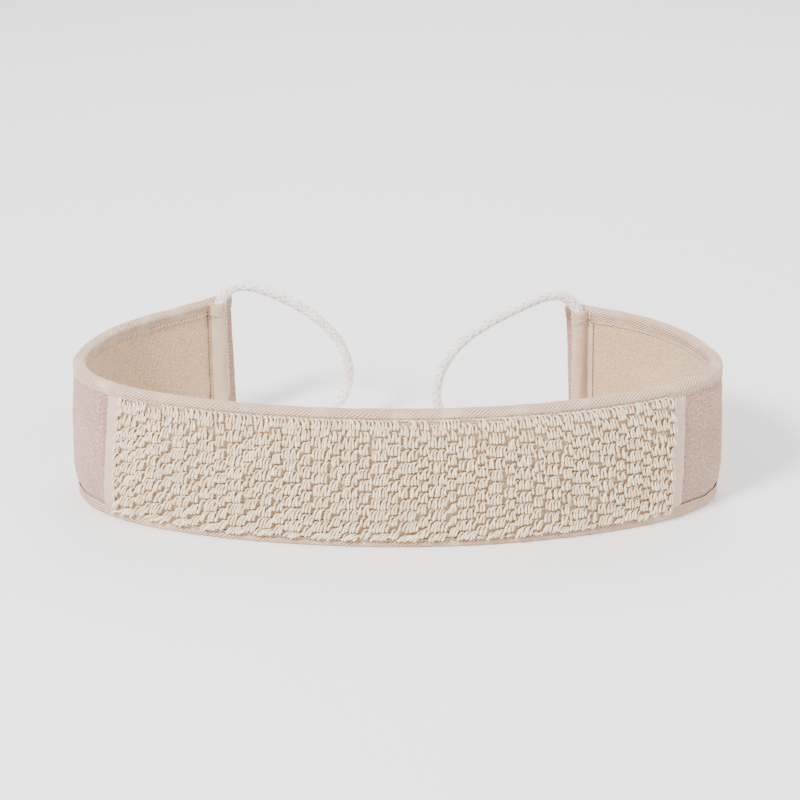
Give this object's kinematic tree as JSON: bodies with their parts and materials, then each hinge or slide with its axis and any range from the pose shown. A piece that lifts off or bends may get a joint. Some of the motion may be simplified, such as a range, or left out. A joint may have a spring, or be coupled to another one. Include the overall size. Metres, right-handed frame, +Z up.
{
  "type": "loofah back scrubber",
  "caption": "Padded terry back-scrubbing strap with a looped loofah pad, taped edges and a rope hand loop at each end, standing curled on its edge.",
  "frame": {"origin": "centre of the strap's footprint on the surface it stands on, ropes left out", "axes": "+X to the right along the strap's width, +Y from the padded front to the open back, +Z up"},
  "size_m": [0.4122, 0.2105, 0.1073],
  "materials": {
    "terry_outer": "fine velour terry pile, tan",
    "terry_inner": "fine terry pile, warm beige",
    "wadding": "white polyester wadding",
    "twill_tape": "cream cotton twill tape with diagonal ribs",
    "plain_tape": "cream plain-woven cotton tape",
    "woven_backing": "ochre open-woven fibre",
    "loop_fibre": "off-white bast-fibre loops",
    "cotton_rope": "braided cotton, off-white",
    "sewing_thread": "spun thread"
  },
  "bodies": {
    "strap_centre": {"outer_face_centre": "terry_outer", "core_centre": "wadding", "inner_face_centre": "terry_inner", "top_binding_centre": "twill_tape", "bottom_binding_centre": "twill_tape", "top_seam_centre": "sewing_thread", "bottom_seam_centre": "sewing_thread", "pad_backing": "woven_backing", "loop_pile": "loop_fibre", "pad_tape_left": "plain_tape", "pad_tape_right": "plain_tape", "pad_tape_seam_left": "sewing_thread", "pad_tape_seam_right": "sewing_thread"},
    "left_wing": {"outer_face_left": "terry_outer", "core_left": "wadding", "inner_face_left": "terry_inner", "top_binding_left": "twill_tape", "bottom_binding_left": "twill_tape", "top_seam_left": "sewing_thread", "bottom_seam_left": "sewing_thread", "rope_tunnel_left": "twill_tape", "tunnel_cap_left": "twill_tape", "tunnel_seam_left": "sewing_thread"},
    "right_wing": {"outer_face_right": "terry_outer", "core_right": "wadding", "inner_face_right": "terry_inner", "top_binding_right": "twill_tape", "bottom_binding_right": "twill_tape", "top_seam_right": "sewing_thread", "bottom_seam_right": "sewing_thread", "rope_tunnel_right": "twill_tape", "tunnel_cap_right": "twill_tape", "tunnel_seam_right": "sewing_thread"},
    "left_loop": {"rope_hidden_left": "cotton_rope", "rope_whipping_left": "sewing_thread", "rope_loop_left": "cotton_rope"},
    "right_loop": {"rope_hidden_right": "cotton_rope", "rope_whipping_right": "sewing_thread", "rope_loop_right": "cotton_rope"}
  },
  "joints": [
    {"name": "left_wing_flex", "type": "hinge", "parent": "strap_centre", "child": "left_wing", "pos_m": [-0.1996, -0.0303, 0.045], "axis": [0, 0, 1], "range_deg": [0, 40]},
    {"name": "right_wing_flex", "type": "hinge", "parent": "strap_centre", "child": "right_wing", "pos_m": [0.2008, -0.0279, 0.045], "axis": [0, 0, -1], "range_deg": [0, 40]},
    {"name": "left_loop_swing", "type": "hinge", "parent": "left_wing", "child": "left_loop", "pos_m": [-0.12107, 0.08729, 0.05], "axis": [0, 0, 1], "range_deg": [-85, 30]},
    {"name": "right_loop_swing", "type": "hinge", "parent": "right_wing", "child": "right_loop", "pos_m": [0.12035, 0.07185, 0.05], "axis": [0, 0, -1], "range_deg": [-85, 30]}
  ]
}
